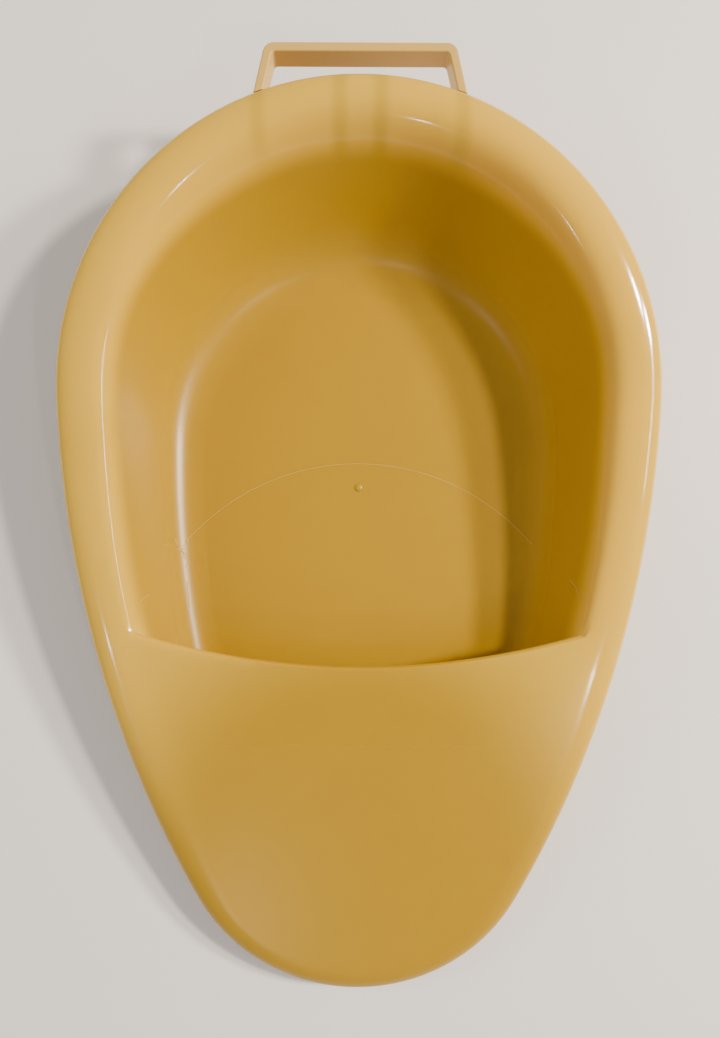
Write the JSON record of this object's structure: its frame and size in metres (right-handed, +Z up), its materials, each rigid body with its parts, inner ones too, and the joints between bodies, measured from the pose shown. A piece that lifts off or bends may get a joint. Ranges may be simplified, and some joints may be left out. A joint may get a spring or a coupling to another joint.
{
  "type": "bedpan",
  "caption": "Wedge-shaped slipper bedpan in yellow plastic: an egg-shaped bowl with a wide rolled rim, a flat hood over its low end and a loop handle at its deep end.",
  "frame": {"origin": "on the flat base, below the centre of the round wide end", "axes": "+Y runs along the pan towards the handle, +X to the right when seen from the nose, +Z up from the base"},
  "size_m": [0.2802, 0.4491, 0.0743],
  "materials": {
    "pan_plastic": "semi-gloss injection-moulded polypropylene, mustard yellow",
    "handle_plastic": "satin injection-moulded polypropylene, pale yellow"
  },
  "bodies": {
    "root": {"pan_body": "pan_plastic", "carry_handle": "handle_plastic"}
  },
  "joints": []
}
